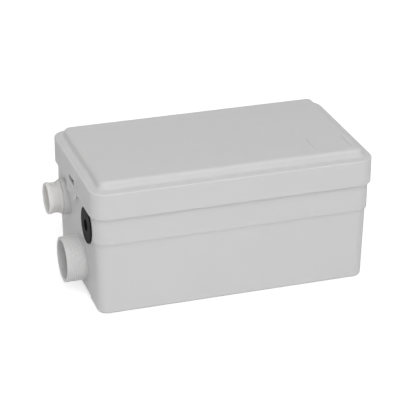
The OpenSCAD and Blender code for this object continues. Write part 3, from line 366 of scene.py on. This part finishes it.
def shade(colour, factor):
    """A colour made darker or lighter."""
    return tuple(min(1.0, channel * factor) for channel in colour)


def moulded(slot, colour, roughness, mottle=0.02, grain=0.35 * MM, relief=0.012 * MM, specular=0.5):
    """Moulded plastic or rubber: faint flow mottle, uneven gloss and a fine spark-eroded grain."""
    finish = Finish(slot, roughness, specular=specular)
    flow = finish.ranged(finish.noise(MOTTLE_SIZE), 0, 1)
    finish.colour(flow, shade(colour, 1 - mottle), shade(colour, 1 + mottle))
    gloss = finish.noise(GLOSS_SIZE)
    finish.rough(finish.ranged(gloss, roughness - GLOSS_SPREAD, roughness + GLOSS_SPREAD))
    finish.bump(finish.noise(grain, GRAIN_DETAIL), relief)
    return finish


def casing_plastic():
    """Pale grey plastic that light enters a little way."""
    finish = moulded("casing_plastic", (0.6, 0.6, 0.6), roughness=0.48, mottle=0.005, specular=0.15)
    finish.glow_through(1.5 * MM)
    return finish


def spigot_plastic():
    """Milky plastic that light passes through."""
    milky = (0.62, 0.612, 0.593)
    finish = moulded("spigot_plastic", milky, roughness=0.42, mottle=0.008, specular=0.25)
    finish.glow_through(12.0 * MM)
    return finish


def black_rubber():
    """Dull moulded rubber."""
    black = (0.008, 0.008, 0.0083)
    return moulded(
        "black_rubber", black, roughness=0.6, mottle=0.1, grain=0.5 * MM, relief=0.03 * MM, specular=0.05
    )


def hose_rubber():
    """Rubber with the coarser skin of a hose."""
    black = (0.03, 0.03, 0.032)
    return moulded("hose_rubber", black, roughness=0.62, mottle=0.1, grain=0.7 * MM, relief=0.04 * MM)


def pump_plastic():
    """Black plastic that its glass fibres make uneven."""
    black = (0.07, 0.075, 0.08)
    return moulded("pump_plastic", black, roughness=0.55, mottle=0.12, grain=0.8 * MM, relief=0.03 * MM)


def metal(slot, colour, roughness, stretch):
    """Metal with hair lines across the direction in which the texture is packed closer."""
    finish = Finish(slot, roughness, metallic=1.0)
    lines = finish.noise(HAIR_SIZE, HAIR_DETAIL, finish.stretched(stretch))
    finish.colour(finish.ranged(lines, 0, 1), shade(colour, HAIR_DARK), shade(colour, HAIR_LIGHT))
    finish.rough(finish.ranged(lines, roughness - HAIR_SMOOTHER, roughness + HAIR_ROUGHER))
    finish.bump(lines, HAIR_DEPTH)
    return finish


def carbon_foam():
    """Open black foam, with painted shade darkening the pits of its pores."""
    finish = Finish("carbon_foam", FOAM_ROUGHNESS)
    pore_pits_and_shade = finish.cells(PORE_SIZE)
    # Painted shade: colour darkens towards the middle of each pore, where the bump makes a pit
    finish.colour(finish.ranged(pore_pits_and_shade, 0, 1, PORE_SPREAD), PAINTED_PORE_SHADE, FOAM_COLOUR)
    finish.bump(pore_pits_and_shade, PORE_DEPTH)
    return finish


def make_materials():
    """The material of each slot in the record."""
    finishes = [
        casing_plastic(),
        spigot_plastic(),
        black_rubber(),
        hose_rubber(),
        pump_plastic(),
        carbon_foam(),
        moulded("grey_plastic", (0.2, 0.21, 0.22), roughness=0.5, mottle=0.04),
        moulded("white_plastic", (0.8, 0.8, 0.79), roughness=0.42),
        moulded("red_plastic", (0.5, 0.06, 0.04), roughness=0.3, mottle=0.05),
        moulded("lead_sheath", (0.03, 0.03, 0.03), roughness=0.45, mottle=0.08, grain=0.3 * MM),
        moulded("seal_ceramic", (0.8, 0.78, 0.72), roughness=0.16),
        moulded("board", (0.03, 0.2, 0.08), roughness=0.3, mottle=0.15),
        metal("steel", (0.62, 0.62, 0.63), roughness=0.3, stretch=(1, 1, 24)),
        metal("cast_aluminium", (0.68, 0.69, 0.7), roughness=0.5, stretch=(1, 1, 1)),
        metal("core_iron", (0.22, 0.22, 0.23), roughness=0.5, stretch=(1, 1, 30)),
        metal("copper", (0.72, 0.38, 0.2), roughness=0.3, stretch=(1, 1, 16)),
        metal("contact_brass", (0.78, 0.62, 0.28), roughness=0.3, stretch=(1, 16, 1)),
    ]
    return {finish.slot: finish.material for finish in finishes}


# Tools for shapes

def soften(piece, width, even=False):
    """Joins split corners and flat triangles, then rounds the edges.

    Where even, every edge gets the full width, also beside short edges.
    """
    weld = piece.modifiers.new("weld", "WELD")
    weld.merge_threshold = WELD
    flat = piece.modifiers.new("flat", "DECIMATE")
    flat.decimate_type = "DISSOLVE"
    flat.angle_limit = FLAT_ANGLE
    edge = piece.modifiers.new("edge", "BEVEL")
    edge.width = width
    edge.segments = EDGE_SEGMENTS
    edge.limit_method = "ANGLE"
    edge.angle_limit = EDGE_ANGLE
    edge.use_clamp_overlap = not even


def weigh_normals(piece, keep_sharp=False):
    """Keeps large faces flat in the shading, so that only the rounded edges turn."""
    normals = piece.modifiers.new("normals", "WEIGHTED_NORMAL")
    normals.keep_sharp = keep_sharp


def round_lead(piece):
    """Rounds off the facets of a swept lead."""
    weld = piece.modifiers.new("weld", "WELD")
    weld.merge_threshold = WELD
    rounder = piece.modifiers.new("rounder", "SUBSURF")
    rounder.levels = LEAD_LEVELS
    rounder.render_levels = LEAD_LEVELS


def apply_modifiers(piece):
    """Gives the piece the mesh that its modifiers make."""
    bpy.context.view_layer.update()
    graph = bpy.context.evaluated_depsgraph_get()
    piece.data = bpy.data.meshes.new_from_object(piece.evaluated_get(graph))
    piece.modifiers.clear()


def cut(piece, cutter):
    """Takes the cutter out of the piece and drops the cutter."""
    modifier = piece.modifiers.new("cut", "BOOLEAN")
    modifier.operation = "DIFFERENCE"
    modifier.solver = "EXACT"
    modifier.object = cutter
    apply_modifiers(piece)
    bpy.data.objects.remove(cutter)


def smooth(mesh):
    """Smooth shading, apart from true edges."""
    mesh.shade_smooth()
    mesh.set_sharp_from_angle(angle=EDGE_ANGLE)


def new_mesh(name, verts, faces):
    """A mesh from its corners and faces."""
    mesh = bpy.data.meshes.new(name)
    mesh.from_pydata(verts, [], faces)
    return mesh


def bare_copy(node):
    """A node's faces as a new mesh, without its stored normals."""
    source = nodes[node].data
    corners = [vertex.co for vertex in source.vertices]
    return new_mesh(node + "_copy", corners, [face.vertices for face in source.polygons])


def bar_outline(length, width, arms=1):
    """Corners of a bar round the origin, or of two bars that cross."""
    x, y = length / 2, width / 2
    if arms == 1:
        return [(x, -y), (x, y), (-x, y), (-x, -y)]
    quarter = [(x, -y), (x, y), (y, y)]
    turns = ((1, 0), (0, 1), (-1, 0), (0, -1))
    return [(a * c - b * s, a * s + b * c) for c, s in turns for a, b in quarter]


def prism_mesh(name, outline, low, high):
    """A closed upright prism between two heights."""
    count = len(outline)
    verts = [(x, y, z) for z in (low, high) for x, y in outline]
    faces = [tuple(reversed(range(count))), tuple(range(count, 2 * count))]
    for here in range(count):
        there = (here + 1) % count
        faces.append((here, there, there + count, here + count))
    return new_mesh(name, verts, faces)


def lathe_mesh(name, profile):
    """A closed turned shape about Z from (radius, height) points that start and end on the axis."""
    rim = profile[1:-1]
    verts = [(0, 0, profile[0][1])]
    for step in range(LATHE_STEPS):
        angle = math.tau * step / LATHE_STEPS
        verts += [(r * math.cos(angle), r * math.sin(angle), z) for r, z in rim]
    verts.append((0, 0, profile[-1][1]))
    last = len(verts) - 1
    faces = []
    for step in range(LATHE_STEPS):
        here = 1 + step * len(rim)
        there = 1 + (step + 1) % LATHE_STEPS * len(rim)
        faces.append((0, there, here))
        faces.append((last, here + len(rim) - 1, there + len(rim) - 1))
        for k in range(len(rim) - 1):
            faces.append((here + k, there + k, there + k + 1, here + k + 1))
    return new_mesh(name, verts, faces)


def mount(name):
    """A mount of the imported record."""
    return next(m for m in frame["record"]["mounts"] if m["name"] == name)


def middle(node):
    """Middle of a node's box."""
    low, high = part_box(node)
    return (low + high) / 2


def half_length(node):
    """Half the length of a node along X."""
    low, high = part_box(node)
    return (high.x - low.x) / 2


def ring(centre, radius, angles, z):
    """Points on a level circle at the given angles in degrees."""
    return [
        Vector((centre.x + radius * math.cos(a), centre.y + radius * math.sin(a), z))
        for a in (math.radians(d) for d in angles)
    ]


def even_angles(count, offset=0.0):
    """Angles in degrees of evenly spaced places, turned by a share of their spacing."""
    return [(k + offset) * 360 / count for k in range(count)]


def fix_piece(name, mesh, place, slot, turn=None):
    """Adds a looks piece that stays with the casing."""
    piece = add_object(name, mesh)
    piece.location = place
    if turn:
        piece.rotation_euler = turn
    if not mesh.materials:
        mesh.materials.append(materials[slot])
    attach(piece, "casing")


# Nodes of the object

def dress_nodes():
    """Gives each node its material and rounded edges."""
    for name, piece in nodes.items():
        slot = piece.data.materials[0].name
        piece.data.materials[0] = materials[slot]
        if name in LEAD_NODES:
            round_lead(piece)
        elif name not in UNSOFTENED_NODES:
            soften(piece, EDGE_WIDTH, even=name in EVEN_NODES)
            weigh_normals(piece)


# Tank and inlet thread

def thread_radius(radius, along, angle):
    """Radius of the threaded stub at a place on it. The groove fades in after the plain mouth."""
    off = abs((along / THREAD_PITCH - angle / math.tau) % 1.0 - 0.5) * THREAD_PITCH
    half = (THREAD_PITCH - THREAD_CREST) / 2
    groove = 0.5 + 0.5 * math.cos(math.pi * min(1.0, off / half))
    fade = min(1.0, max(0.0, (along - THREAD_LEAD) / THREAD_FADE))
    return radius - THREAD_DEPTH * groove * fade


def thread_rows(radius, length):
    """Rows of a tube from the bore round the mouth to the far end, as (along, radius).

    The radius is None where the thread gives it.
    """
    turns = [math.radians(90 * k / STUB_LIP_STEPS) for k in range(STUB_LIP_STEPS)]
    lip = [(STUB_LIP * (1 - math.sin(t)), STUB_LIP * (1 - math.cos(t))) for t in turns]
    rows = [(along, STUB_BORE + drop) for along, drop in lip]
    rows.append((0.0, STUB_BORE + STUB_LIP))
    rows += [(along, radius - drop) for along, drop in reversed(lip[1:])]
    threaded = length - STUB_LIP
    count = round(threaded / THREAD_PITCH * THREAD_ROWS)
    rows += [(STUB_LIP + threaded * k / count, None) for k in range(count + 1)]
    rows.append((length, STUB_BORE))
    return rows


def thread_mesh(name, radius, length):
    """A tube along Z with a rounded mouth at 0, threaded outside and plain inside."""
    rows = thread_rows(radius, length)
    verts = []
    for along, plain in rows:
        for step in range(THREAD_STEPS):
            angle = math.tau * step / THREAD_STEPS
            r = plain or thread_radius(radius, along, angle)
            verts.append((r * math.cos(angle), r * math.sin(angle), along))
    faces = []
    for row in range(len(rows)):
        here = row * THREAD_STEPS
        there = (row + 1) % len(rows) * THREAD_STEPS
        for step in range(THREAD_STEPS):
            after = (step + 1) % THREAD_STEPS
            faces.append((here + step, here + after, there + after, there + step))
    mesh = new_mesh(name, verts, faces)
    smooth(mesh)
    return mesh


def make_tank():
    """The tank, with the threaded end of its inlet stub as a piece of its own."""
    stub = mount("inlet_stub")
    radius = stub["dims"]["r_mm"] * MM
    length = stub["dims"]["length_mm"] * MM
    mouth = Vector(stub["pos_m"]) + Vector(stub["axis"]) * length / 2
    along_x = (0, math.pi / 2, 0)

    shell = add_object("tank_shell", bare_copy("tank"))
    soften(shell, TANK_EDGE_WIDTH)
    apply_modifiers(shell)
    outer = radius + STUB_CLEAR
    plug = [(0, -STUB_CLEAR), (outer, -STUB_CLEAR), (outer, length), (0, length)]
    cutter = add_object("stub_cutter", lathe_mesh("stub_cutter", plug))
    cutter.location = mouth
    cutter.rotation_euler = along_x
    cut(shell, cutter)
    smooth(shell.data)
    weigh_normals(shell, keep_sharp=True)
    shell.data.materials.clear()
    shell.data.materials.append(materials["casing_plastic"])
    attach(shell, "casing")
    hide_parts("tank")

    thread = thread_mesh("inlet_thread", radius, length)
    fix_piece("inlet_thread", thread, mouth, "casing_plastic", along_x)


# Screws and terminals

def screw_mesh(name, size, slots):
    """A pan head with a driver recess of one or two slots, standing on z = 0."""
    radius, height = size
    turns = [math.radians(90 * k / HEAD_STEPS) for k in range(HEAD_STEPS + 1)]
    dome = [
        (
            radius * (HEAD_FLAT + (1 - HEAD_FLAT) * math.cos(t)),
            height * (HEAD_RIM + (1 - HEAD_RIM) * math.sin(t)),
        )
        for t in turns
    ]
    head = add_object(name, lathe_mesh(name, [(0, 0), (radius, 0), *dome, (0, height)]))
    outline = bar_outline(RECESS_LENGTH * radius, RECESS_WIDTH * radius, slots)
    recess = prism_mesh("recess", outline, RECESS_FLOOR * height, RECESS_TOP * height)
    cut(head, add_object("recess", recess))
    mesh = head.data
    bpy.data.objects.remove(head)
    smooth(mesh)
    return mesh


def fix_screws(name, size, places):
    """Upright screws with a cross recess."""
    mesh = screw_mesh(name, size, slots=2)
    for count, place in enumerate(places, 1):
        fix_piece(f"{name}_{count}", mesh, place, "steel", (0, 0, TURN_STEP * count))


def make_foot_screws():
    """A screw and its washer on each foot of the pump."""
    feet = [middle(f"damper_{count}") for count in range(1, DAMPERS + 1)]
    lug_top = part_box("damper_1")[1].z + FOOT_LUG
    radius, thickness = FOOT_WASHER
    profile = [(0, 0), (radius, 0), (radius, thickness), (0, thickness)]
    washer = lathe_mesh("foot_washer", profile)
    smooth(washer)
    for count, foot in enumerate(feet, 1):
        fix_piece(f"foot_washer_{count}", washer, Vector((foot.x, foot.y, lug_top)), "steel")
    places = [Vector((foot.x, foot.y, lug_top + thickness)) for foot in feet]
    fix_screws("foot_screw", FOOT_SCREW, places)


def make_bell_screws():
    """Screws in the lugs of the air bell."""
    lug_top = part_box("air_bell")[0].z + BELL_LUG
    places = ring(middle("air_bell"), BELL_LUG_RING, BELL_LUG_ANGLES, lug_top)
    fix_screws("bell_screw", LUG_SCREW, places)


def make_cover_screws():
    """A screw in each corner of the control box cover."""
    low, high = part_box("box_cover")
    xs = (low.x + COVER_INSET, high.x - COVER_INSET)
    ys = (low.y + COVER_INSET, high.y - COVER_INSET)
    fix_screws("cover_screw", COVER_SCREW, [Vector((x, y, high.z)) for x in xs for y in ys])


def make_cap_screws():
    """Screws round the level switch's cap, over the air bell."""
    cap_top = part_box("plunger")[1].z - STEM_PROUD
    radius = half_length("switch_base") - CAP_RING_INSET
    places = ring(middle("air_bell"), radius, even_angles(CAP_SCREWS, offset=0.5), cap_top)
    fix_screws("cap_screw", CAP_SCREW, places)


def make_flange_screws():
    """Screws round the flange of the motor can."""
    flange_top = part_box("motor_can")[0].z + CAN_FLANGE
    radius = half_length("motor_can") - FLANGE_INSET
    places = ring(middle("motor_can"), radius, even_angles(FLANGE_SCREWS), flange_top)
    fix_screws("flange_screw", FLANGE_SCREW, places)


def make_clamp_screws():
    """A slotted worm screw in the housing on top of each hose clamp, its head to the front."""
    mesh = screw_mesh("clamp_screw", CLAMP_SCREW, slots=1)
    to_front = (math.pi / 2, 0, 0)
    for clamp in ("hose_clamp_upper", "hose_clamp_lower"):
        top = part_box(clamp)[1].z
        centre = middle(clamp)
        place = Vector((centre.x, centre.y - WORM_LENGTH / 2, top - WORM_HEIGHT / 2))
        fix_piece(clamp + "_screw", mesh, place, "steel", to_front)


def make_blades():
    """Brass terminals on top of the microswitch."""
    low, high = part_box("microswitch")
    mesh = prism_mesh("switch_blade", bar_outline(BLADE.x, BLADE.y), 0, BLADE.z)
    for count, share in enumerate(BLADE_PLACES, 1):
        place = Vector((low.x + share * (high.x - low.x), (low.y + high.y) / 2, high.z))
        fix_piece(f"switch_blade_{count}", mesh, place, "contact_brass")


# Scene

bpy.context.scene.view_settings.view_transform = "Standard"
make_camera()
make_world()
make_lamp("key_lamp", KEY_PLACE, KEY_SIZE, KEY_LEVEL)
make_lamp("fill_lamp", FILL_PLACE, FILL_SIZE, FILL_LEVEL)
make_floor()
materials = make_materials()
dress_nodes()
make_tank()
make_foot_screws()
make_bell_screws()
make_cover_screws()
make_cap_screws()
make_flange_screws()
make_clamp_screws()
make_blades()
